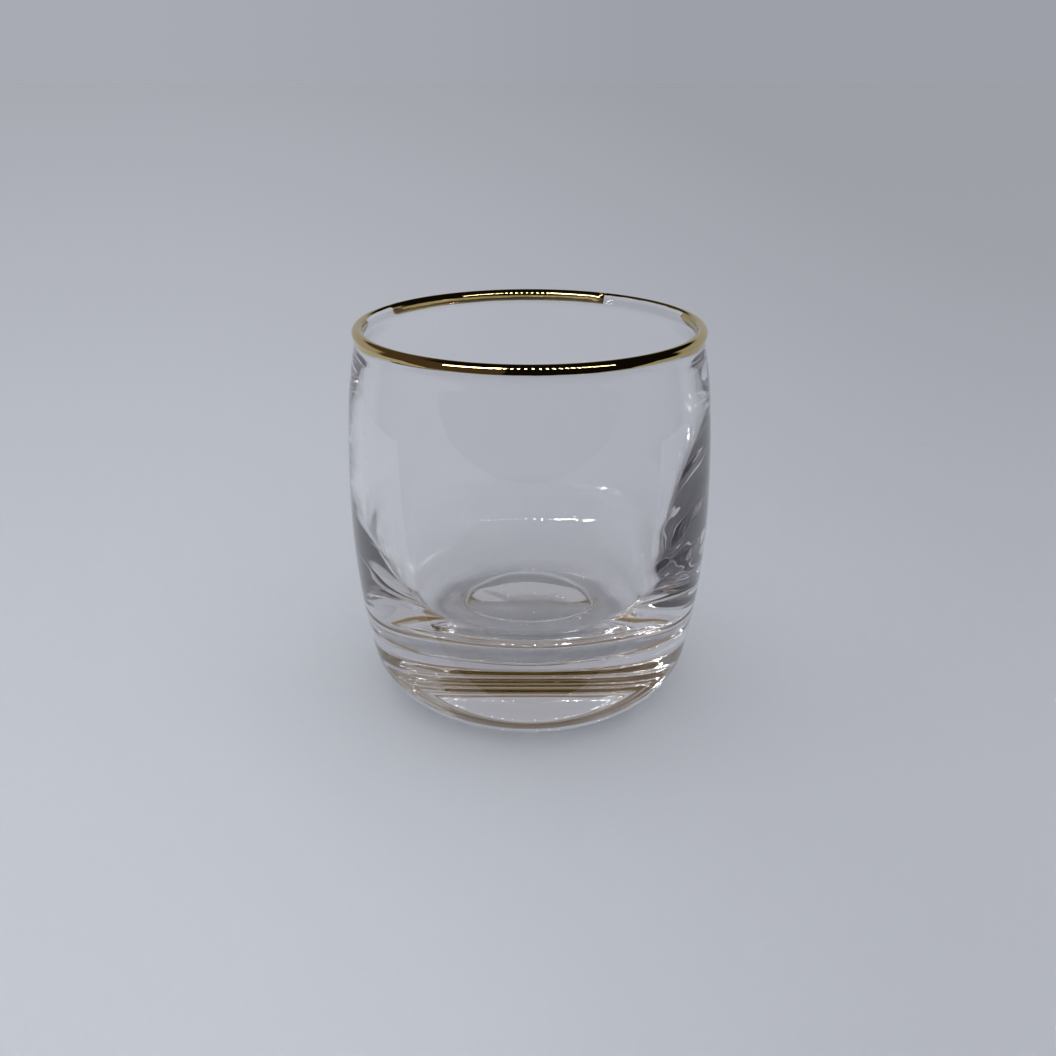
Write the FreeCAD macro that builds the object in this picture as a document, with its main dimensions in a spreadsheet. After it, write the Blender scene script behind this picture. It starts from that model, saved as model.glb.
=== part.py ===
import FreeCAD, Part
import math
import os
import Sketcher

# Shot glass with a gold rim: one glass body and one fired-on gold film over its lip.
# Millimetres, +Z up, origin at the centre of the foot on the surface the glass stands on.

doc = FreeCAD.newDocument("shot_glass")
V = FreeCAD.Vector

# ---------------------------------------------------------------- driving dimensions
DIMENSIONS = [
    # name, value, what it drives
    ("glass_height", 54.0, "foot to top of the lip"),
    ("rim_radius", 24.0, "outside of the rolled lip"),
    ("lip_bead_radius", 0.78, "half the thickness of the rounded lip"),
    ("neck_radius", 3.0, "concave groove just under the lip"),
    ("neck_drop", 2.06, "top of the lip down to the groove centre"),
    ("shoulder_radius", 60.0, "wall curling in towards the lip"),
    ("upper_barrel_radius", 180.0, "wall arc above the belly"),
    ("belly_radius", 25.6, "widest point of the barrel"),
    ("belly_height", 28.5, "height of the widest point"),
    ("lower_barrel_radius", 110.0, "wall arc below the belly"),
    ("heel_radius", 9.6, "large rounding of the base"),
    ("toe_radius", 4.8, "small rounding next to the foot ring"),
    ("toe_sweep", 30.0, "degrees turned by the small rounding"),
    ("foot_ring_width", 1.5, "flat ground ring the glass stands on"),
    ("kick_height", 1.0, "hollow under the base at the axis"),
    ("floor_height", 11.0, "solid glass under the drink"),
    ("cavity_fillet", 13.0, "bowl-shaped corner of the inside"),
    ("cavity_wall_radius", 156.0, "inside wall arc"),
    ("cavity_belly_height", 33.0, "height of the widest inside point"),
    ("film_thickness", 0.05, "gold film, drawn thicker than the real one"),
    ("film_drop_outside", 1.7, "gold film down the outside"),
    ("film_drop_inside", 0.6, "gold film down the inside"),
]

sheet = doc.addObject("Spreadsheet::Sheet", "dims")
sheet.Label = "dims"
for row, (name, value, note) in enumerate(DIMENSIONS, start=1):
    sheet.set("A%d" % row, name)
    sheet.set("B%d" % row, str(value))
    sheet.set("C%d" % row, note)
    sheet.setAlias("B%d" % row, name)
doc.recompute()

D = {name: value for name, value, _ in DIMENSIONS}


# ---------------------------------------------------------------- start points of the outline
def polar(centre, radius, degrees):
    a = math.radians(degrees)
    return V(centre.x + radius * math.cos(a), centre.y + radius * math.sin(a), 0)


def angle_to(a, b):
    return math.degrees(math.atan2(b.y - a.y, b.x - a.x))


def circles_meet(c1, r1, c2, r2, outermost=True):
    """A point r1 from c1 and r2 from c2, the one further from the axis by default."""
    gap = (c2 - c1).Length
    turn = math.degrees(math.acos((r1 * r1 + gap * gap - r2 * r2) / (2 * r1 * gap)))
    both = [polar(c1, r1, angle_to(c1, c2) + side * turn) for side in (1, -1)]
    both.sort(key=lambda point: point.x)
    return both[-1] if outermost else both[0]


top = D["glass_height"]
bead = D["lip_bead_radius"]
film = D["film_thickness"]
lip_centre = V(D["rim_radius"] - bead, top - bead, 0)

neck_z = top - D["neck_drop"]
neck_reach = D["neck_radius"] + bead
neck_x = lip_centre.x + math.sqrt(neck_reach ** 2 - (lip_centre.y - neck_z) ** 2)
neck_centre = V(neck_x, neck_z, 0)
neck_joint = polar(lip_centre, bead, angle_to(lip_centre, neck_centre))

belly = V(D["belly_radius"], D["belly_height"], 0)
upper_centre = V(belly.x - D["upper_barrel_radius"], belly.y, 0)
lower_centre = V(belly.x - D["lower_barrel_radius"], belly.y, 0)
shoulder_centre = circles_meet(
    upper_centre,
    D["upper_barrel_radius"] - D["shoulder_radius"],
    neck_centre,
    D["neck_radius"] + D["shoulder_radius"],
)
shoulder_low = polar(shoulder_centre, D["shoulder_radius"], angle_to(upper_centre, shoulder_centre))
shoulder_high = polar(shoulder_centre, D["shoulder_radius"], angle_to(shoulder_centre, neck_centre))

toe_angle = D["toe_sweep"] - 90.0
heel_gap = D["heel_radius"] - D["toe_radius"]
heel_z = D["toe_radius"] - heel_gap * math.sin(math.radians(toe_angle))
heel_reach = D["lower_barrel_radius"] - D["heel_radius"]
heel_x = lower_centre.x + math.sqrt(heel_reach ** 2 - (belly.y - heel_z) ** 2)
heel_centre = V(heel_x, heel_z, 0)
toe_centre = V(heel_x + heel_gap * math.cos(math.radians(toe_angle)), D["toe_radius"], 0)
heel_low = polar(toe_centre, D["toe_radius"], toe_angle)
heel_high = polar(heel_centre, D["heel_radius"], angle_to(lower_centre, heel_centre))
foot_outer = V(toe_centre.x, 0, 0)
foot_inner = V(toe_centre.x - D["foot_ring_width"], 0, 0)
kick_radius = (foot_inner.x ** 2 + D["kick_height"] ** 2) / (2 * D["kick_height"])
kick_top = V(0, D["kick_height"], 0)
kick_centre = V(0, D["kick_height"] - kick_radius, 0)

wall_reach = D["cavity_wall_radius"] + bead
wall_x = lip_centre.x - math.sqrt(wall_reach ** 2 - (lip_centre.y - D["cavity_belly_height"]) ** 2)
wall_centre = V(wall_x, D["cavity_belly_height"], 0)
wall_top = polar(lip_centre, bead, angle_to(lip_centre, wall_centre))
bowl_z = D["floor_height"] + D["cavity_fillet"]
bowl_reach = D["cavity_wall_radius"] - D["cavity_fillet"]
bowl_x = wall_centre.x + math.sqrt(bowl_reach ** 2 - (wall_centre.y - bowl_z) ** 2)
bowl_centre = V(bowl_x, bowl_z, 0)
wall_low = polar(wall_centre, D["cavity_wall_radius"], angle_to(wall_centre, bowl_centre))
floor_edge = V(bowl_centre.x, D["floor_height"], 0)
floor_middle = V(0, D["floor_height"], 0)

# the two ends of the gold film, on its outer face and on the glass under it
film_low_angle = math.degrees(math.asin((top - D["film_drop_outside"] - neck_z) / D["neck_radius"]))
film_low_angle = 180.0 - film_low_angle
film_end_angle = 180.0 - math.degrees(math.asin((bead - D["film_drop_inside"]) / bead))
film_low = polar(neck_centre, D["neck_radius"], film_low_angle)
glass_low = polar(neck_centre, D["neck_radius"] + film, film_low_angle)
film_end = polar(lip_centre, bead, film_end_angle)
glass_end = polar(lip_centre, bead - film, film_end_angle)
glass_joint = polar(lip_centre, bead - film, angle_to(lip_centre, neck_centre))


# ---------------------------------------------------------------- sketch helpers
START, END, CENTRE = 1, 2, 3
X_AXIS = -1
ORIGIN = (X_AXIS, START)
Y_AXIS = -2


class Outline:
    """A sketch on the XZ plane of its own body: X is the radius, Y is the height."""

    def __init__(self, body, name):
        self.sketch = body.newObject("Sketcher::SketchObject", name)
        self.sketch.Label = name
        plane = [f for f in body.Origin.OriginFeatures if f.Role == "XZ_Plane"][0]
        self.sketch.AttachmentSupport = [(plane, "")]
        self.sketch.MapMode = "FlatFace"

    def line(self, a, b):
        return self.sketch.addGeometry(Part.LineSegment(a, b), False)

    def arc(self, centre, a, b):
        """Counter-clockwise arc from a to b about centre."""
        circle = Part.Circle(centre, V(0, 0, 1), (a - centre).Length)
        first = math.atan2(a.y - centre.y, a.x - centre.x)
        last = math.atan2(b.y - centre.y, b.x - centre.x)
        if last < first:
            last += 2 * math.pi
        return self.sketch.addGeometry(Part.ArcOfCircle(circle, first, last), False)

    def fix(self, *args):
        self.sketch.addConstraint(Sketcher.Constraint(*args))

    def join(self, g1, p1, g2, p2):
        self.fix("Coincident", g1, p1, g2, p2)

    def smooth(self, g1, p1, g2, p2):
        self.fix("Tangent", g1, p1, g2, p2)

    def drive(self, name, expression, *args):
        """A dimension named after what it is and bound to the sheet."""
        index = self.sketch.addConstraint(Sketcher.Constraint(*args))
        self.sketch.renameConstraint(index, name)
        self.sketch.setExpression("Constraints." + name, expression)


def revolve(body, sketch, name):
    feature = body.newObject("PartDesign::Revolution", name)
    feature.Profile = sketch
    feature.ReferenceAxis = (sketch, ["V_Axis"])
    feature.Angle = 360.0
    sketch.Visibility = False
    return feature


# ---------------------------------------------------------------- glass body
glass = doc.addObject("PartDesign::Body", "glass_body")
glass.Label = "glass_body"
o = Outline(glass, "glass_profile")

kick = o.arc(kick_centre, foot_inner, kick_top)
ring = o.line(foot_inner, foot_outer)
toe = o.arc(toe_centre, foot_outer, heel_low)
heel = o.arc(heel_centre, heel_low, heel_high)
lower = o.arc(lower_centre, heel_high, belly)
upper = o.arc(upper_centre, belly, shoulder_low)
shoulder = o.arc(shoulder_centre, shoulder_low, shoulder_high)
neck = o.arc(neck_centre, film_low, shoulder_high)
step_out = o.line(film_low, glass_low)
neck_under = o.arc(neck_centre, glass_joint, glass_low)
lip_under = o.arc(lip_centre, glass_joint, glass_end)
step_in = o.line(glass_end, film_end)
lip = o.arc(lip_centre, film_end, wall_top)
wall = o.arc(wall_centre, wall_low, wall_top)
bowl = o.arc(bowl_centre, floor_edge, wall_low)
floor = o.line(floor_edge, floor_middle)
axis = o.line(floor_middle, kick_top)

# foot: hollow, flat ring, two roundings
o.fix("PointOnObject", kick, CENTRE, Y_AXIS)
o.fix("PointOnObject", kick, END, Y_AXIS)
o.join(kick, START, ring, START)
o.fix("Horizontal", ring)
o.fix("PointOnObject", ring, START, X_AXIS)
o.smooth(ring, END, toe, START)
o.smooth(toe, END, heel, START)
o.smooth(heel, END, lower, START)
o.smooth(lower, END, upper, START)
o.smooth(upper, END, shoulder, START)
o.smooth(shoulder, END, neck, END)

# film seat: the glass is relieved by the film thickness
o.join(neck, START, step_out, START)
o.join(step_out, END, neck_under, END)
o.join(neck, CENTRE, neck_under, CENTRE)
o.fix("PointOnObject", neck, CENTRE, step_out)
o.smooth(neck_under, START, lip_under, START)
o.join(lip_under, END, step_in, START)
o.join(step_in, END, lip, START)
o.join(lip_under, CENTRE, lip, CENTRE)
o.fix("PointOnObject", lip, CENTRE, step_in)

# inside
o.smooth(lip, END, wall, END)
o.smooth(wall, START, bowl, END)
o.smooth(bowl, START, floor, START)
o.fix("Horizontal", floor)
o.fix("PointOnObject", floor, END, Y_AXIS)
o.join(floor, END, axis, START)
o.join(axis, END, kick, END)

o.drive("kick_height", "dims.kick_height", "DistanceY", *ORIGIN, kick, END, D["kick_height"])
o.drive("ring_width", "dims.foot_ring_width", "Distance", ring, D["foot_ring_width"])
o.drive("toe_radius", "dims.toe_radius", "Radius", toe, D["toe_radius"])
o.drive("toe_sweep", "dims.toe_sweep", "Angle", toe, math.radians(D["toe_sweep"]))
o.drive("heel_radius", "dims.heel_radius", "Radius", heel, D["heel_radius"])
o.drive("lower_radius", "dims.lower_barrel_radius", "Radius", lower, D["lower_barrel_radius"])
o.drive("upper_radius", "dims.upper_barrel_radius", "Radius", upper, D["upper_barrel_radius"])
o.drive("belly_radius", "dims.belly_radius", "DistanceX", *ORIGIN, upper, START, belly.x)
o.drive("belly_height", "dims.belly_height", "DistanceY", *ORIGIN, upper, START, belly.y)
o.drive("belly_level", "dims.belly_height", "DistanceY", *ORIGIN, upper, CENTRE, belly.y)
o.drive("shoulder_radius", "dims.shoulder_radius", "Radius", shoulder, D["shoulder_radius"])
o.drive("neck_radius", "dims.neck_radius", "Radius", neck, D["neck_radius"])
o.drive("neck_height", "dims.glass_height - dims.neck_drop", "DistanceY", *ORIGIN, neck, CENTRE, neck_z)
o.drive("lip_height", "dims.glass_height - dims.lip_bead_radius", "DistanceY",
        *ORIGIN, lip, CENTRE, lip_centre.y)
o.drive("lip_reach", "dims.rim_radius - dims.lip_bead_radius", "DistanceX",
        *ORIGIN, lip, CENTRE, lip_centre.x)
o.drive("lip_radius", "dims.lip_bead_radius", "Radius", lip, bead)
o.drive("lip_seat", "dims.lip_bead_radius - dims.film_thickness", "Radius", lip_under, bead - film)
o.drive("film_low", "dims.glass_height - dims.film_drop_outside", "DistanceY",
        *ORIGIN, neck, START, film_low.y)
o.drive("film_end", "dims.glass_height - dims.film_drop_inside", "DistanceY",
        *ORIGIN, lip, START, film_end.y)
o.drive("wall_radius", "dims.cavity_wall_radius", "Radius", wall, D["cavity_wall_radius"])
o.drive("wall_level", "dims.cavity_belly_height", "DistanceY",
        *ORIGIN, wall, CENTRE, wall_centre.y)
o.drive("bowl_radius", "dims.cavity_fillet", "Radius", bowl, D["cavity_fillet"])
o.drive("floor_height", "dims.floor_height", "DistanceY", *ORIGIN, floor, END, D["floor_height"])
revolve(glass, o.sketch, "glass_turned")

# ---------------------------------------------------------------- gold film on the lip
gold = doc.addObject("PartDesign::Body", "gold_rim_band")
gold.Label = "gold_rim_band"
g = Outline(gold, "gold_profile")

g_neck = g.arc(neck_centre, neck_joint, film_low)
g_lip = g.arc(lip_centre, neck_joint, film_end)
g_end = g.line(film_end, glass_end)
g_lip_under = g.arc(lip_centre, glass_joint, glass_end)
g_neck_under = g.arc(neck_centre, glass_joint, glass_low)
g_low = g.line(glass_low, film_low)

g.smooth(g_neck, START, g_lip, START)
g.join(g_lip, END, g_end, START)
g.join(g_end, END, g_lip_under, END)
g.smooth(g_lip_under, START, g_neck_under, START)
g.join(g_neck_under, END, g_low, START)
g.join(g_low, END, g_neck, END)
g.join(g_lip, CENTRE, g_lip_under, CENTRE)
g.join(g_neck, CENTRE, g_neck_under, CENTRE)
g.fix("PointOnObject", g_lip, CENTRE, g_end)
g.fix("PointOnObject", g_neck, CENTRE, g_low)

g.drive("lip_height", "dims.glass_height - dims.lip_bead_radius", "DistanceY",
        *ORIGIN, g_lip, CENTRE, lip_centre.y)
g.drive("lip_reach", "dims.rim_radius - dims.lip_bead_radius", "DistanceX",
        *ORIGIN, g_lip, CENTRE, lip_centre.x)
g.drive("lip_radius", "dims.lip_bead_radius", "Radius", g_lip, bead)
g.drive("lip_seat", "dims.lip_bead_radius - dims.film_thickness", "Radius", g_lip_under, bead - film)
g.drive("neck_radius", "dims.neck_radius", "Radius", g_neck, D["neck_radius"])
g.drive("neck_height", "dims.glass_height - dims.neck_drop", "DistanceY",
        *ORIGIN, g_neck, CENTRE, neck_z)
g.drive("film_low", "dims.glass_height - dims.film_drop_outside", "DistanceY",
        *ORIGIN, g_neck, END, film_low.y)
g.drive("film_end", "dims.glass_height - dims.film_drop_inside", "DistanceY",
        *ORIGIN, g_lip, END, film_end.y)
revolve(gold, g.sketch, "gold_turned")

# ---------------------------------------------------------------- check and export
doc.recompute()
for item in doc.Objects:
    if "Invalid" in item.State or "Error" in item.State:
        raise RuntimeError("%s did not recompute: %s" % (item.Label, item.State))

for sketch in (o.sketch, g.sketch):
    if sketch.solve() != 0:
        raise RuntimeError("%s does not solve" % sketch.Label)

os.makedirs("parts", exist_ok=True)
for body in (glass, gold):
    shape = body.Shape
    if shape.isNull() or not shape.isValid():
        raise RuntimeError("%s has no valid solid" % body.Label)
    box = shape.optimalBoundingBox(False)
    print("%-14s solids %d  volume %.1f mm3  x %.3f..%.3f  z %.3f..%.3f" % (
        body.Label, len(shape.Solids), shape.Volume, box.XMin, box.XMax, box.ZMin, box.ZMax))
    shape.exportStep("parts/%s.step" % body.Label)

overlap = glass.Shape.common(gold.Shape).Volume
print("glass and gold overlap %.5f mm3" % overlap)
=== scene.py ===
import math

import bmesh
import bpy
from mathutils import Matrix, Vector, noise


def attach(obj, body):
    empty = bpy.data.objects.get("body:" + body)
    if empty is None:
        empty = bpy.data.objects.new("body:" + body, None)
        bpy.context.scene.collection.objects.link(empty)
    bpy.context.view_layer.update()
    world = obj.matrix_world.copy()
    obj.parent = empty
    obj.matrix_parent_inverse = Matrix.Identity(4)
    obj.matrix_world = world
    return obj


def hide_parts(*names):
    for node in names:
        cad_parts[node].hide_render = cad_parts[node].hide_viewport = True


# Shot glass with a gold rim, on a pale floor in a pale tent with a darker room to the front.
# Lengths are millimetres until a mesh is made, as in the CAD source. Angles round the glass are
# degrees from +X, anticlockwise from above, so the front is 270 and the back is 90.
# A pair named for a fade holds the two values between which the fade happens.

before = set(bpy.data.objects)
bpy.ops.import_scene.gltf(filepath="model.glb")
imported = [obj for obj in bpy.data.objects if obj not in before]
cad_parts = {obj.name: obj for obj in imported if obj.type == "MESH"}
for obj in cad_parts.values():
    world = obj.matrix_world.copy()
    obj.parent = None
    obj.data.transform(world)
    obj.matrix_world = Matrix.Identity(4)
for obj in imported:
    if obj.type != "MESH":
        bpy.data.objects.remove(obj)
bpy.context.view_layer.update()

MM = 0.001

# ---------------------------------------------------------------- spacing of mesh points
TURNS = 360                        # facets round the axis
COARSE = 0.45                      # along large arcs
MEDIUM = 0.25                      # along the toe, heel and bowl
FINE = 0.12                        # along the groove under the lip
LIP_FINE = 0.08                    # along the lip
FOOT_STEPS = 4
FLOOR_FINE_WIDTH = 0.9             # edge of the inside floor, where the faint ring is
FLOOR_FINE_STEPS = 24
FLOOR_STEPS = 16
FILM_STEPS = 28                    # across the film

# ---------------------------------------------------------------- sizes, as in the CAD source
HEIGHT = 54.0
RIM_RADIUS = 24.0
BEAD = 0.78
NECK = 3.0
NECK_DROP = 2.06
SHOULDER = 60.0
UPPER_BARREL = 180.0
BELLY_RADIUS = 25.59               # a hundredth under the CAD size, so the mesh stays inside its box
BELLY_HEIGHT = 28.5
LOWER_BARREL = 110.0
HEEL = 9.6
TOE = 4.8
TOE_ANGLE = -60.0
FOOT_RING = 1.5
KICK = 1.0
FLOOR_HEIGHT = 11.0
BOWL = 13.0
WALL = 156.0
WALL_BELLY_HEIGHT = 33.0
FILM = 0.05
FILM_DROP = 1.7                    # how far the film comes down the outside

# ---------------------------------------------------------------- where glass and film touch
FILM_SUNK = 0.02                   # the film's back face lies inside the glass, so no air is left
SEAT_OUTSIDE = (HEIGHT - 2.6, HEIGHT - 1.9)    # heights where the glass steps in under the film
SEAT_INSIDE = (HEIGHT - 4.0, HEIGHT - 2.5)

# ---------------------------------------------------------------- how the moulded inside is uneven
SWELL = 0.03                       # long waves all over
RIPPLE = 0.10                      # short waves low down, strongest at the two sides
RIPPLE_FADE = (38.0, 24.0)         # heights
RIPPLE_FLATTEN = 3.2               # ripples are this much longer than they are high
RIPPLE_FRONT = 0.25                # share of the ripple left at the front and back
LIP_FADE = (52.5, 50.0)            # heights, true above
AXIS_FADE = (2.0, 9.0)             # radii, true nearer the axis
CORNER_FADE = 6.0                  # the thick sides die away over this width at the floor's edge
# thick sides: extra glass, how tightly it gathers, height where it starts, height where it is full
THICK_RIGHT = (2.6, 3.5, 44.0, 20.0)
THICK_LEFT = (3.0, 3.0, 29.0, 13.0)
RING_HEIGHT = 0.28                 # faint raised ring in the inside floor
RING_RADIUS = 10.05
RING_WIDTH = 0.25

# ---------------------------------------------------------------- how the film is brushed on
DEEP_FROM = 61.0                   # the film is deep inside along the back, between these angles
DEEP_TO = 151.0
DEEP_FADE_RIGHT = (DEEP_FROM, DEEP_FROM + 1.5)
DEEP_FADE_LEFT = (DEEP_TO + 3.0, DEEP_TO - 9.0)
THIN_FADE_RIGHT = (12.0, 34.0)     # right of the deep part the film thins to a strip on the crest
THIN_END_RIGHT = (DEEP_FROM - 1.0, DEEP_FROM)
THIN_FADE_LEFT = (176.0, 160.0)    # and the same to the left of it
THIN_END_LEFT = (DEEP_TO - 4.0, DEEP_TO)
FRONT_FADE_LEFT = (205.0, 225.0)   # between these two fades the film is shorter outside
FRONT_FADE_RIGHT = (335.0, 315.0)
FRONT_SHORT = 0.55
WANDER_OUTSIDE = 0.04              # how far the brushed edges wander
WANDER_INSIDE = 0.07
DROP_THIN = 0.22                   # how far below the top the film ends inside
DROP_DEEP = 1.0
TICK_AT = DEEP_FROM + 2.0          # a small tick where the brush was lifted
TICK_FADE = (2.5, 0.5)
TICK_DROP = 0.25
RAGGED = 6.0                       # degrees that the left end wanders
CREST = 88.0                       # place on the lip where the thin strips start

# ---------------------------------------------------------------- finishes
GLASS_TINTS = ((0.985, 0.985, 0.992), (0.995, 0.995, 0.999))
GLASS_IOR = 1.51
ABSORB_COLOUR = (0.915, 0.905, 0.915, 1.0)
ABSORB_DENSITY = 25.0
SMEAR = (0.62, 0.80)               # noise values where a smear starts and is full
SMEAR_ROUGHNESS = (0.0, 0.02)
GOLD_TINTS = ((0.55, 0.42, 0.16), (0.66, 0.52, 0.22))
CLOUD = (0.45, 0.75)               # noise values where the gold starts and stops losing polish
GOLD_ROUGHNESS = (0.01, 0.05)
GOLD_GRAIN = 0.02                  # height of the fine bump
GOLD_GRAIN_STRENGTH = 0.05
FLOOR_ROUGHNESS = 0.7
FLOOR_GLOSS = 0.1

# ---------------------------------------------------------------- studio colours
WALL_COLOUR = (0.43, 0.44, 0.48)
DARK_COLOUR = (0.006, 0.005, 0.005)
WARM_COLOUR = (0.085, 0.060, 0.050)
ROOM_COLOUR = (0.07, 0.071, 0.079)
TENT_COLOUR = (0.40, 0.405, 0.43)
# gold-brown painted reflection of the rim, seen through the glass
PAINTED_GOLD_REFLECTION = (0.20, 0.125, 0.03)
DAYLIGHT = (0.79, 0.80, 0.825)
# the floor's near colour, and its far colour darkened by painted shade
FLOOR_NEAR = (0.705, 0.73, 0.775)
FLOOR_FAR_SHADED = (0.46, 0.47, 0.51)
FLOOR_GAIN = 0.935                 # how bright the lit floor looks for its colour and the daylight

# ---------------------------------------------------------------- painted shade that darkens the floor, in metres
FAR_SHARE = 0.75                   # share of the far, shaded colour reached with distance
FAR_START = 0.03                   # starts this far in front of the axis
FAR_LENGTH = 0.2
SIDE_SHARE = 0.50                  # share of the far, shaded colour added to the right
SIDE_SLOPE = (-0.35, 0.50)         # sideways distance over depth
SIDE_ORIGIN = 0.16                 # depth is measured from this far in front of the axis
SIDE_NEAREST = 0.05

# ---------------------------------------------------------------- parts of the world, as directions
CEILING = (0.34, 0.44)             # up: the pale back wall gives way to the dark ceiling
OPENING = (0.22, 0.36)             # back: the dark room gives way to the pale back wall
WARM_SIDE = (-0.26, -0.24)         # right: the warm left side ends
WARM_TOP = (0.75, 0.85)            # up: the warm left side ends
FRONT = (-0.60, -0.35)             # back: the dark front gives way to the tent
FRONT_TOP = (0.50, 0.70)           # up: the dark front gives way to the tent
GUIDED_BACK = (0.0, 0.15)          # back: light guided by the wall leaves this way, where the gold reflection is painted
GUIDED_UP = (0.45, 0.55)           # up: light guided by the wall leaves this way, where the gold reflection is painted
GUIDED_DEPTH = 4.5                 # light guided by the wall has bounced more often than this; only such rays get the painted gold reflection
NO_BOUNCE = 0.5                    # a count of bounces below this is none

# ---------------------------------------------------------------- floor sheets
FAR = 6000.0
PAPER_HALF = 220.0
PAPER_FRONT = -30.0
APRON_FRONT = -150.0
PAPER_DROP = -0.02
APRON_DROP = -0.03
AROUND_DROP = -0.05

# ---------------------------------------------------------------- lamps
LONG_LAMPS = {"y": -115.0, "z": 158.0, "half": 160.0, "count": 34, "wide": 2.2, "deep": 45.0}
SHORT_LAMPS = {"y": -75.0, "z": 150.0, "half": 176.0, "count": 26, "wide": 2.0, "deep": 8.0}
LONG_STRENGTH = 30.0
SHORT_STRENGTH = 120.0
MERGE_LEFT_OF = -0.23              # lamps further left than this share of the row nearly touch
MERGED_HALF = 0.40                 # half width of those lamps, as a share of the spacing
FIRST_BOUNCE = 1.5                 # ray depths below this are first bounces

# ---------------------------------------------------------------- camera and bounces
SENSOR = 36.0
LENS = 36.955
SHIFT_X = -0.0015
CAMERA_PLACE = (0.0, -146.4, 85.8)
CAMERA_DOWN = 23.05                # degrees below level
NEAREST = 0.01                     # nothing nearer the camera shows, in metres
BOUNCES = 64                       # fewer leave dark streaks where light is caught in the wall
DIFFUSE_BOUNCES = 3
CLAMP = 40.0


def smooth_step(low, high, value):
    t = min(1.0, max(0.0, (value - low) / (high - low)))
    return t * t * (3 - 2 * t)


# ---------------------------------------------------------------- plane geometry, (radius, height)
def polar(centre, radius, degrees):
    a = math.radians(degrees)
    return (centre[0] + radius * math.cos(a), centre[1] + radius * math.sin(a))


def bearing(a, b):
    return math.degrees(math.atan2(b[1] - a[1], b[0] - a[0]))


def circles_meet(c1, r1, c2, r2):
    """The point r1 from c1 and r2 from c2 that is further from the axis."""
    gap = math.dist(c1, c2)
    turn = math.degrees(math.acos((r1 * r1 + gap * gap - r2 * r2) / (2 * r1 * gap)))
    both = [polar(c1, r1, bearing(c1, c2) + side * turn) for side in (1, -1)]
    return max(both)


def arc(centre, radius, first, last, spacing):
    """Points from angle first to angle last, about spacing apart, without the first one."""
    length = abs(math.radians(last - first)) * radius
    steps = max(4, math.ceil(length / spacing))
    return [polar(centre, radius, first + (last - first) * k / steps) for k in range(1, steps + 1)]


# ---------------------------------------------------------------- centres of the profile's arcs
lip_centre = (RIM_RADIUS - BEAD, HEIGHT - BEAD)
neck_z = HEIGHT - NECK_DROP
neck_x = lip_centre[0] + math.sqrt((NECK + BEAD) ** 2 - (lip_centre[1] - neck_z) ** 2)
neck_centre = (neck_x, neck_z)
upper_centre = (BELLY_RADIUS - UPPER_BARREL, BELLY_HEIGHT)
lower_centre = (BELLY_RADIUS - LOWER_BARREL, BELLY_HEIGHT)
shoulder_centre = circles_meet(upper_centre, UPPER_BARREL - SHOULDER, neck_centre, NECK + SHOULDER)

heel_gap = HEEL - TOE
heel_z = TOE - heel_gap * math.sin(math.radians(TOE_ANGLE))
heel_x = lower_centre[0] + math.sqrt((LOWER_BARREL - HEEL) ** 2 - (BELLY_HEIGHT - heel_z) ** 2)
heel_centre = (heel_x, heel_z)
toe_centre = (heel_x + heel_gap * math.cos(math.radians(TOE_ANGLE)), TOE)
ring_inner = toe_centre[0] - FOOT_RING

wall_x = lip_centre[0] - math.sqrt((WALL + BEAD) ** 2 - (lip_centre[1] - WALL_BELLY_HEIGHT) ** 2)
wall_centre = (wall_x, WALL_BELLY_HEIGHT)
bowl_z = FLOOR_HEIGHT + BOWL
bowl_x = wall_x + math.sqrt((WALL - BOWL) ** 2 - (WALL_BELLY_HEIGHT - bowl_z) ** 2)
bowl_centre = (bowl_x, bowl_z)

LIP_OUT = bearing(lip_centre, neck_centre)             # where the neck runs into the lip
LIP_IN = bearing(lip_centre, wall_centre) % 360        # where the lip runs into the inside wall
LIP_LENGTH = math.radians(LIP_IN - LIP_OUT) * BEAD


# ---------------------------------------------------------------- outlines
def kick_outline():
    """The hollow under the base, from the axis to the foot ring."""
    radius = (ring_inner ** 2 + KICK ** 2) / (2 * KICK)
    centre = (0.0, KICK - radius)
    return [(0.0, KICK)] + arc(centre, radius, 90.0, bearing(centre, (ring_inner, 0.0)), COARSE)


def seated(centre, radius, corners, fade):
    """Corners on an arc, moved off it by the film's thickness where the film covers them."""
    moved = []
    for corner in corners:
        seat = FILM * smooth_step(*fade, corner[1])
        moved.append(polar(centre, radius + seat, bearing(centre, corner)))
    return moved


def outside_outline():
    """Foot ring, heel, barrel, shoulder, neck and lip, up to the inside wall."""
    heel_top = bearing(lower_centre, heel_centre)
    low = bearing(upper_centre, shoulder_centre)
    high = bearing(shoulder_centre, neck_centre)
    neck_start = bearing(neck_centre, shoulder_centre) % 360
    neck_stop = bearing(neck_centre, lip_centre) % 360
    points = [(ring_inner + FOOT_RING * k / FOOT_STEPS, 0.0) for k in range(1, FOOT_STEPS + 1)]
    points += arc(toe_centre, TOE, -90.0, TOE_ANGLE, MEDIUM)
    points += arc(heel_centre, HEEL, TOE_ANGLE, heel_top, MEDIUM)
    points += arc(lower_centre, LOWER_BARREL, heel_top, 0.0, COARSE)
    points += arc(upper_centre, UPPER_BARREL, 0.0, low, COARSE)
    points += arc(shoulder_centre, SHOULDER, low, high, COARSE)
    neck = arc(neck_centre, NECK, neck_start, neck_stop, FINE)
    points += seated(neck_centre, NECK, neck, SEAT_OUTSIDE)
    points += arc(lip_centre, BEAD - FILM, LIP_OUT, LIP_IN, LIP_FINE)
    return points


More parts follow.
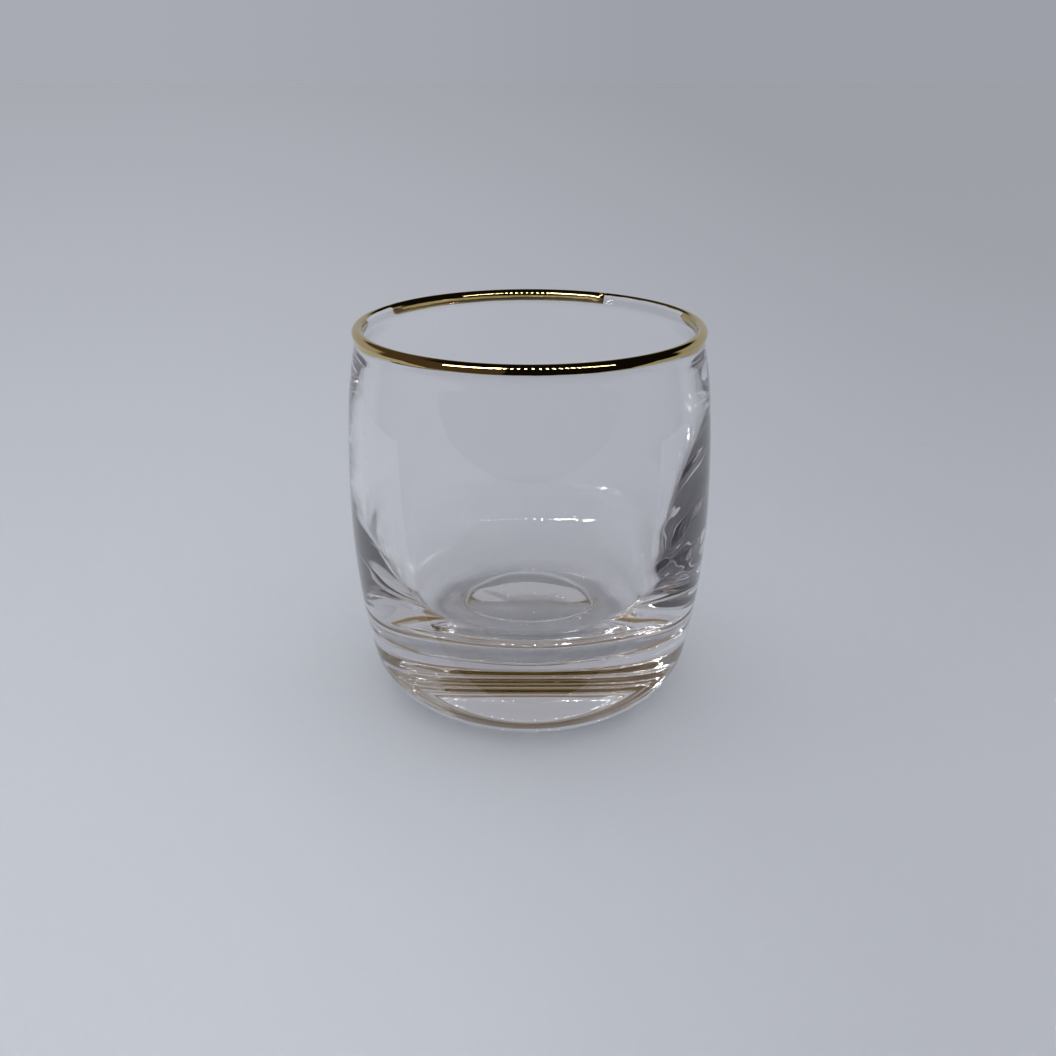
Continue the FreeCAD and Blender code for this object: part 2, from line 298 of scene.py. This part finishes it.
def inside_outline():
    """Inside wall, bowl and floor, from the lip to the axis."""
    wall_low = bearing(wall_centre, bowl_centre)
    wall = arc(wall_centre, WALL, bearing(wall_centre, lip_centre), wall_low, COARSE)
    points = seated(wall_centre, WALL, wall, SEAT_INSIDE)
    points += arc(bowl_centre, BOWL, wall_low, -90.0, MEDIUM)
    for k in range(1, FLOOR_FINE_STEPS + 1):
        points.append((bowl_x - FLOOR_FINE_WIDTH * k / FLOOR_FINE_STEPS, FLOOR_HEIGHT))
    for k in range(1, FLOOR_STEPS + 1):
        points.append(((bowl_x - FLOOR_FINE_WIDTH) * (1 - k / FLOOR_STEPS), FLOOR_HEIGHT))
    return points


# ---------------------------------------------------------------- meshes
def linked_object(name, mesh):
    made = bpy.data.objects.new(name, mesh)
    bpy.context.scene.collection.objects.link(made)
    return made


def lathe(name, ring_at, rings, closed):
    """A mesh of rings round Z. ring_at(k, angle) gives the point of ring k at that angle."""
    verts = []
    index = []
    for k in range(rings):
        if ring_at(k, 0.0)[0] < 1e-9:
            index.append([len(verts)] * TURNS)
            verts.append((0.0, 0.0, ring_at(k, 0.0)[1] * MM))
            continue
        index.append(list(range(len(verts), len(verts) + TURNS)))
        for i in range(TURNS):
            angle = 2 * math.pi * i / TURNS
            r, z = ring_at(k, angle)
            verts.append((r * math.cos(angle) * MM, r * math.sin(angle) * MM, z * MM))
    faces = []
    for k in range(rings if closed else rings - 1):
        low, high = index[k], index[(k + 1) % rings]
        for i in range(TURNS):
            j = (i + 1) % TURNS
            corners = [low[i], low[j], high[j], high[i]]
            face = [v for n, v in enumerate(corners) if v != corners[n - 1]]
            if len(face) > 2:
                faces.append(face)
    mesh = bpy.data.meshes.new(name)
    mesh.from_pydata(verts, [], faces)
    built = bmesh.new()
    built.from_mesh(mesh)
    bmesh.ops.recalc_face_normals(built, faces=built.faces)
    built.to_mesh(mesh)
    built.free()
    mesh.shade_smooth()
    return linked_object(name, mesh)


def wave(angle, z, scale, seed):
    """Smooth noise between about -1 and 1 over the turned surface. Each seed gives other noise."""
    place = Vector((math.cos(angle) * RIM_RADIUS, math.sin(angle) * RIM_RADIUS, z)) / scale
    return noise.noise(place + Vector((seed, seed * 0.37, seed * 1.9)))


# ---------------------------------------------------------------- the glass
def thick_side(towards, side, z):
    """Extra glass on one side; towards is 1 in the middle of that side and 0 or less off it."""
    extra, gather, top, full = side
    return extra * max(0.0, towards) ** gather * smooth_step(top, full, z)


def inside_unevenness(angle, r, z):
    """How far the inside is from true, outwards. It is true at the lip and at the axis."""
    fade = smooth_step(*LIP_FADE, z) * smooth_step(*AXIS_FADE, r)
    swell = SWELL * wave(angle, z, scale=16.0, seed=3.0)
    thick = thick_side(math.cos(angle), THICK_RIGHT, z) + thick_side(-math.cos(angle), THICK_LEFT, z)
    thick *= smooth_step(bowl_x, bowl_x + CORNER_FADE, r)
    ripple = RIPPLE * wave(angle, z * RIPPLE_FLATTEN, scale=9.0, seed=11.0)
    ripple *= smooth_step(*RIPPLE_FADE, z)
    ripple *= RIPPLE_FRONT + (1 - RIPPLE_FRONT) * math.cos(angle) ** 2
    return fade * (swell + ripple) - thick


def make_glass():
    """The whole glass as one skin. The wall shifts sideways and the floor up and down."""
    outside = kick_outline() + outside_outline()
    points = outside + inside_outline()

    def ring_at(k, angle):
        r, z = points[k]
        if k < len(outside) or r < 1e-9:
            return r, z
        shift = inside_unevenness(angle, r, z)
        floor_share = smooth_step(bowl_z, FLOOR_HEIGHT, z)
        ring = RING_HEIGHT * math.exp(-((r - RING_RADIUS) / RING_WIDTH) ** 2)
        return r + shift * (1 - floor_share), z + shift * floor_share + ring

    return lathe("clear_glass_body", ring_at, len(points), closed=False)


# ---------------------------------------------------------------- the film
def film_path(u, height):
    """A point at distance u along the lip from the neck joint, at a height over the glass face."""
    if u < 0:
        degrees = bearing(neck_centre, lip_centre) + math.degrees(-u / NECK)
        return polar(neck_centre, NECK + FILM - height, degrees)
    if u < LIP_LENGTH:
        return polar(lip_centre, BEAD - FILM + height, LIP_OUT + math.degrees(u / BEAD))
    degrees = bearing(wall_centre, lip_centre) - math.degrees((u - LIP_LENGTH) / WALL)
    return polar(wall_centre, WALL + FILM - height, degrees)


def inside_reach(drop):
    """How far along the lip the film goes to end this far below the top, inside."""
    if drop > BEAD:
        return LIP_LENGTH + drop - BEAD
    degrees = 180 - math.degrees(math.asin((BEAD - drop) / BEAD))
    return math.radians(degrees - LIP_OUT) * BEAD


def film_start(angle, degrees, ragged):
    """Where the film starts: down the outside, or on the crest where it is a thin strip."""
    low_angle = 180 - math.degrees(math.asin((HEIGHT - FILM_DROP - neck_z) / NECK))
    start = -math.radians(low_angle - bearing(neck_centre, lip_centre) % 360) * NECK
    front = smooth_step(*FRONT_FADE_LEFT, degrees) * smooth_step(*FRONT_FADE_RIGHT, degrees)
    start += FRONT_SHORT * front + WANDER_OUTSIDE * wave(angle, 0.0, scale=2.2, seed=5.0)
    thin = smooth_step(*THIN_FADE_RIGHT, degrees) * (1 - smooth_step(*THIN_END_RIGHT, degrees))
    thin += smooth_step(*THIN_END_LEFT, degrees + ragged) * smooth_step(*THIN_FADE_LEFT, degrees)
    crest = math.radians(CREST - LIP_OUT) * BEAD
    return start + (crest - start) * thin


def film_stop(angle, degrees, ragged):
    """Where the film stops inside: deep along the back, close to the top elsewhere."""
    deep = smooth_step(*DEEP_FADE_RIGHT, degrees)
    deep *= smooth_step(*DEEP_FADE_LEFT, degrees + ragged)
    tick = smooth_step(*TICK_FADE, abs(degrees - TICK_AT))
    drop = DROP_THIN + (DROP_DEEP - DROP_THIN) * deep + TICK_DROP * tick
    return inside_reach(drop) + WANDER_INSIDE * wave(angle, 0.0, scale=1.6, seed=8.0)


def make_film():
    """A thin closed shell: up the face one way and back along the underside."""

    def ring_at(k, angle):
        degrees = math.degrees(angle)
        ragged = RAGGED * wave(angle, 0.0, scale=1.1, seed=21.0)
        start = film_start(angle, degrees, ragged)
        stop = film_stop(angle, degrees, ragged)
        if k <= FILM_STEPS:
            return film_path(start + (stop - start) * k / FILM_STEPS, FILM)
        back = k - FILM_STEPS - 1
        return film_path(stop + (start - stop) * back / FILM_STEPS, -FILM_SUNK)

    return lathe("gold_rim_film", ring_at, 2 * FILM_STEPS + 2, closed=True)


# ---------------------------------------------------------------- node helpers
class Nodes:
    """Short names for building one node tree."""

    def __init__(self, tree):
        self.tree = tree
        tree.nodes.clear()

    def add(self, kind, **values):
        node = self.tree.nodes.new(kind)
        for name, value in values.items():
            setattr(node, name, value)
        return node

    def link(self, source, target):
        self.tree.links.new(source, target)

    def math(self, operation, a, b=0.0, clamp=False):
        node = self.add("ShaderNodeMath", operation=operation, use_clamp=clamp)
        for socket, value in zip(node.inputs, (a, b)):
            if isinstance(value, float):
                socket.default_value = value
            else:
                self.link(value, socket)
        return node.outputs[0]

    def ramp(self, value, low, high, to_low, to_high):
        node = self.add("ShaderNodeMapRange", interpolation_type="SMOOTHSTEP")
        self.link(value, node.inputs["Value"])
        node.inputs["From Min"].default_value = low
        node.inputs["From Max"].default_value = high
        node.inputs["To Min"].default_value = to_low
        node.inputs["To Max"].default_value = to_high
        return node.outputs["Result"]

    def noise(self, coords, scale, detail, rough):
        node = self.add("ShaderNodeTexNoise")
        self.link(coords, node.inputs["Vector"])
        node.inputs["Scale"].default_value = scale
        node.inputs["Detail"].default_value = detail
        node.inputs["Roughness"].default_value = rough
        return node.outputs["Fac"]

    def mix(self, factor, a, b):
        """A colour between a and b. Sockets 6, 7 and 2 are the node's colour ones."""
        node = self.add("ShaderNodeMix", data_type="RGBA")
        self.link(factor, node.inputs["Factor"])
        for socket, value in ((node.inputs[6], a), (node.inputs[7], b)):
            if isinstance(value, tuple):
                socket.default_value = (*value, 1.0)
            else:
                self.link(value, socket)
        return node.outputs[2]


def material(name):
    """A new material with its node builder, main shader, output and coordinates in metres."""
    made = bpy.data.materials.new(name)
    made.use_nodes = True
    n = Nodes(made.node_tree)
    shader = n.add("ShaderNodeBsdfPrincipled")
    out = n.add("ShaderNodeOutputMaterial")
    n.link(shader.outputs[0], out.inputs["Surface"])
    coords = n.add("ShaderNodeTexCoord").outputs["Object"]
    return made, n, shader, out, coords


# ---------------------------------------------------------------- materials
def glass_material():
    """Clear soda-lime glass with a breath of grey and faint smears."""
    made, n, shader, out, coords = material("clear_glass")
    shader.inputs["Transmission Weight"].default_value = 1.0
    shader.inputs["IOR"].default_value = GLASS_IOR
    smear = n.noise(coords, scale=90.0, detail=3.0, rough=0.6)
    n.link(n.mix(smear, *GLASS_TINTS), shader.inputs["Base Color"])
    n.link(n.ramp(smear, *SMEAR, *SMEAR_ROUGHNESS), shader.inputs["Roughness"])
    absorb = n.add("ShaderNodeVolumeAbsorption")
    absorb.inputs["Color"].default_value = ABSORB_COLOUR
    absorb.inputs["Density"].default_value = ABSORB_DENSITY
    n.link(absorb.outputs[0], out.inputs["Volume"])
    return made


def gold_material():
    """Fired-on bright gold: mirror-like, with cloudy changes of colour and polish."""
    made, n, shader, out, coords = material("bright_gold")
    shader.inputs["Metallic"].default_value = 1.0
    cloud = n.noise(coords, scale=420.0, detail=4.0, rough=0.6)
    n.link(n.mix(cloud, *GOLD_TINTS), shader.inputs["Base Color"])
    n.link(n.ramp(cloud, *CLOUD, *GOLD_ROUGHNESS), shader.inputs["Roughness"])
    bump = n.add("ShaderNodeBump")
    bump.inputs["Strength"].default_value = GOLD_GRAIN_STRENGTH
    bump.inputs["Distance"].default_value = GOLD_GRAIN * MM
    n.link(n.noise(coords, scale=1500.0, detail=3.0, rough=0.5), bump.inputs["Height"])
    n.link(bump.outputs["Normal"], shader.inputs["Normal"])
    return made


def painted_floor_shade(n, x, y):
    """How much painted shade the floor gets at this place, in metres: how far it has gone from its
    near to its far colour.
    """
    away = n.math("MAXIMUM", n.math("ADD", y, FAR_START), 0.0)
    far = n.math("MULTIPLY", n.math("DIVIDE", away, n.math("ADD", away, FAR_LENGTH)), FAR_SHARE)
    depth = n.math("MAXIMUM", n.math("ADD", y, SIDE_ORIGIN), SIDE_NEAREST)
    side = n.ramp(n.math("DIVIDE", x, depth), *SIDE_SLOPE, 0.0, SIDE_SHARE)
    return n.math("ADD", far, side, clamp=True)


def floor_material():
    """Pale matt sheet with painted shade: a little darker far away and to the right."""
    made, n, shader, out, coords = material("pale_floor")
    shader.inputs["Roughness"].default_value = FLOOR_ROUGHNESS
    shader.inputs["Specular IOR Level"].default_value = FLOOR_GLOSS
    split = n.add("ShaderNodeSeparateXYZ")
    n.link(coords, split.inputs[0])
    shade_share = painted_floor_shade(n, split.outputs["X"], split.outputs["Y"])
    n.link(n.mix(shade_share, FLOOR_NEAR, FLOOR_FAR_SHADED), shader.inputs["Base Color"])
    return made


def glow_material(name, strength, test):
    """A lamp that shows only to rays whose depth passes the test against the first bounce."""
    glow = bpy.data.materials.new(name)
    glow.use_nodes = True
    n = Nodes(glow.node_tree)
    light = n.add("ShaderNodeEmission")
    light.inputs["Strength"].default_value = strength
    clear = n.add("ShaderNodeBsdfTransparent")
    choose = n.add("ShaderNodeMixShader")
    depth = n.add("ShaderNodeLightPath").outputs["Ray Depth"]
    n.link(n.math(test, depth, FIRST_BOUNCE), choose.inputs[0])
    n.link(clear.outputs[0], choose.inputs[1])
    n.link(light.outputs[0], choose.inputs[2])
    n.link(choose.outputs[0], n.add("ShaderNodeOutputMaterial").inputs["Surface"])
    glow.cycles.emission_sampling = "NONE"
    return glow


# ---------------------------------------------------------------- studio
def flat_sheet(name, left, right, front, back, z):
    mesh = bpy.data.meshes.new(name)
    corners = [(left, front, z), (right, front, z), (right, back, z), (left, back, z)]
    mesh.from_pydata([Vector(c) * MM for c in corners], [], [(0, 1, 2, 3)])
    sheet = linked_object(name, mesh)
    return sheet


def make_floor():
    """One pale floor in three parts: seen by mirrors and glass, by glass only, and by neither."""
    pale = floor_material()
    paper = flat_sheet("paper", -PAPER_HALF, PAPER_HALF, PAPER_FRONT, FAR, PAPER_DROP)
    apron = flat_sheet("apron", -FAR, FAR, APRON_FRONT, FAR, APRON_DROP)
    around = flat_sheet("around", -FAR, FAR, -FAR, FAR, AROUND_DROP)
    apron.visible_glossy = False
    around.visible_glossy = False
    around.visible_transmission = False
    for sheet in (paper, apron, around):
        sheet.data.materials.append(pale)


def lit_by_day(colour):
    return tuple(c * day * FLOOR_GAIN for c, day in zip(colour, DAYLIGHT))


def mirrored_world(n, right, back, up):
    """What mirrors see: the pale back wall, and a dark room round it with a warmer left side."""
    below_ceiling = n.ramp(up, *CEILING, 1.0, 0.0)
    behind = n.ramp(back, *OPENING, 0.0, 1.0)
    left = n.ramp(right, *WARM_SIDE, 1.0, 0.0)
    low = n.ramp(up, *WARM_TOP, 1.0, 0.0)
    room = n.mix(n.math("MULTIPLY", left, low), DARK_COLOUR, WARM_COLOUR)
    return n.mix(n.math("MULTIPLY", below_ceiling, behind), room, WALL_COLOUR)


def world_through_glass(n, back, up, depth):
    """What glass shows after a reflection inside it: the pale tent, dark low down at the front.

    Light that the wall guides comes out past the gold at the rim. Here its gold colour is a painted
    reflection in the world, shown to rays that have bounced often.
    """
    side = n.ramp(back, *FRONT, 0.0, 1.0)
    top = n.ramp(up, *FRONT_TOP, 0.0, 1.0)
    tent = n.mix(n.math("MAXIMUM", side, top), ROOM_COLOUR, TENT_COLOUR)
    deep = n.math("GREATER_THAN", depth, GUIDED_DEPTH)
    backward = n.ramp(back, *GUIDED_BACK, 0.0, 1.0)
    upward = n.ramp(up, *GUIDED_UP, 0.0, 1.0)
    painted_gold_share = n.math("MULTIPLY", deep, n.math("MULTIPLY", backward, upward))
    return n.mix(painted_gold_share, tent, PAINTED_GOLD_REFLECTION)


def world_past_floor(n, right, back):
    """The floor's colour, with its painted shade, carried on past its edge, so no horizon shows."""
    edge_x = n.math("MULTIPLY", right, FAR * MM)
    edge_y = n.math("MULTIPLY", back, FAR * MM)
    shade_share = painted_floor_shade(n, edge_x, edge_y)
    return n.mix(shade_share, lit_by_day(FLOOR_NEAR), lit_by_day(FLOOR_FAR_SHADED))


def make_world():
    """A world that differs for mirrors, glass, straight views and the light on matt surfaces."""
    world = bpy.data.worlds.new("tent")
    bpy.context.scene.world = world
    world.use_nodes = True
    world.cycles.sampling_method = "NONE"
    n = Nodes(world.node_tree)
    out = n.add("ShaderNodeOutputWorld")
    background = n.add("ShaderNodeBackground")
    n.link(background.outputs[0], out.inputs["Surface"])
    split = n.add("ShaderNodeSeparateXYZ")
    n.link(n.add("ShaderNodeTexCoord").outputs["Generated"], split.inputs[0])
    right, back, up = split.outputs
    path = n.add("ShaderNodeLightPath").outputs
    glass_ray = path["Is Transmission Ray"]

    mirrored = mirrored_world(n, right, back, up)
    through = world_through_glass(n, back, up, path["Ray Depth"])
    colour = n.mix(glass_ray, mirrored, through)

    unreflected = n.math("LESS_THAN", path["Glossy Depth"], NO_BOUNCE)
    straight = n.math("MULTIPLY", glass_ray, unreflected)
    straight = n.math("MAXIMUM", straight, path["Is Camera Ray"])
    colour = n.mix(straight, colour, world_past_floor(n, right, back))

    matt = n.math("GREATER_THAN", path["Diffuse Depth"], NO_BOUNCE)
    colour = n.mix(matt, colour, DAYLIGHT)
    n.link(colour, background.inputs["Color"])


def lamp_row(name, row, strength, test):
    """Small bright lamps in a row along X, each turned towards the axis."""
    y, z, half, deep = row["y"], row["z"], row["half"], row["deep"]
    pitch = 2 * half / (row["count"] - 1)
    verts = []
    faces = []
    for k in range(row["count"]):
        x = pitch * k - half
        half_wide = MERGED_HALF * pitch if x < MERGE_LEFT_OF * half else row["wide"] / 2
        centre = Vector((x, y, z))
        inward = Vector((-x, -y, 0.0)).normalized() * deep / 2
        along = Vector((-y, x, 0.0)).normalized() * half_wide
        start = len(verts)
        for corner in (-along - inward, along - inward, along + inward, -along + inward):
            verts.append((centre + corner) * MM)
        faces.append((start, start + 3, start + 2, start + 1))
    mesh = bpy.data.meshes.new(name)
    mesh.from_pydata(verts, [], faces)
    mesh.materials.append(glow_material(name + "_glow", strength, test))
    lamps = linked_object(name, mesh)
    lamps.visible_camera = False
    lamps.visible_diffuse = False
    lamps.visible_shadow = False


def make_camera():
    camera = bpy.data.cameras.new("camera")
    camera.sensor_width = SENSOR
    camera.lens = LENS
    camera.shift_x = SHIFT_X
    camera.clip_start = NEAREST
    holder = linked_object("camera", camera)
    holder.location = [c * MM for c in CAMERA_PLACE]
    holder.rotation_euler = (math.radians(90 - CAMERA_DOWN), 0.0, 0.0)
    bpy.context.scene.camera = holder


def set_light_paths():
    """Plain colours, and enough bounces for light that is caught in the glass."""
    scene = bpy.context.scene
    scene.view_settings.view_transform = "Standard"
    scene.cycles.max_bounces = BOUNCES
    scene.cycles.glossy_bounces = BOUNCES
    scene.cycles.transmission_bounces = BOUNCES
    scene.cycles.diffuse_bounces = DIFFUSE_BOUNCES
    scene.cycles.sample_clamp_indirect = CLAMP
    scene.cycles.caustics_refractive = True
    scene.cycles.caustics_reflective = True


# ---------------------------------------------------------------- the object
glass_piece = make_glass()
glass_piece.data.materials.append(glass_material())
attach(glass_piece, "root")
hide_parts("glass_body")

film_piece = make_film()
film_piece.data.materials.append(gold_material())
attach(film_piece, "root")
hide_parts("gold_rim_band")

# ---------------------------------------------------------------- the studio round it
make_floor()
make_world()
lamp_row("long_lamps", LONG_LAMPS, LONG_STRENGTH, "LESS_THAN")           # mirrored in the gold
lamp_row("short_lamps", SHORT_LAMPS, SHORT_STRENGTH, "GREATER_THAN")     # seen inside the glass
make_camera()
set_light_paths()
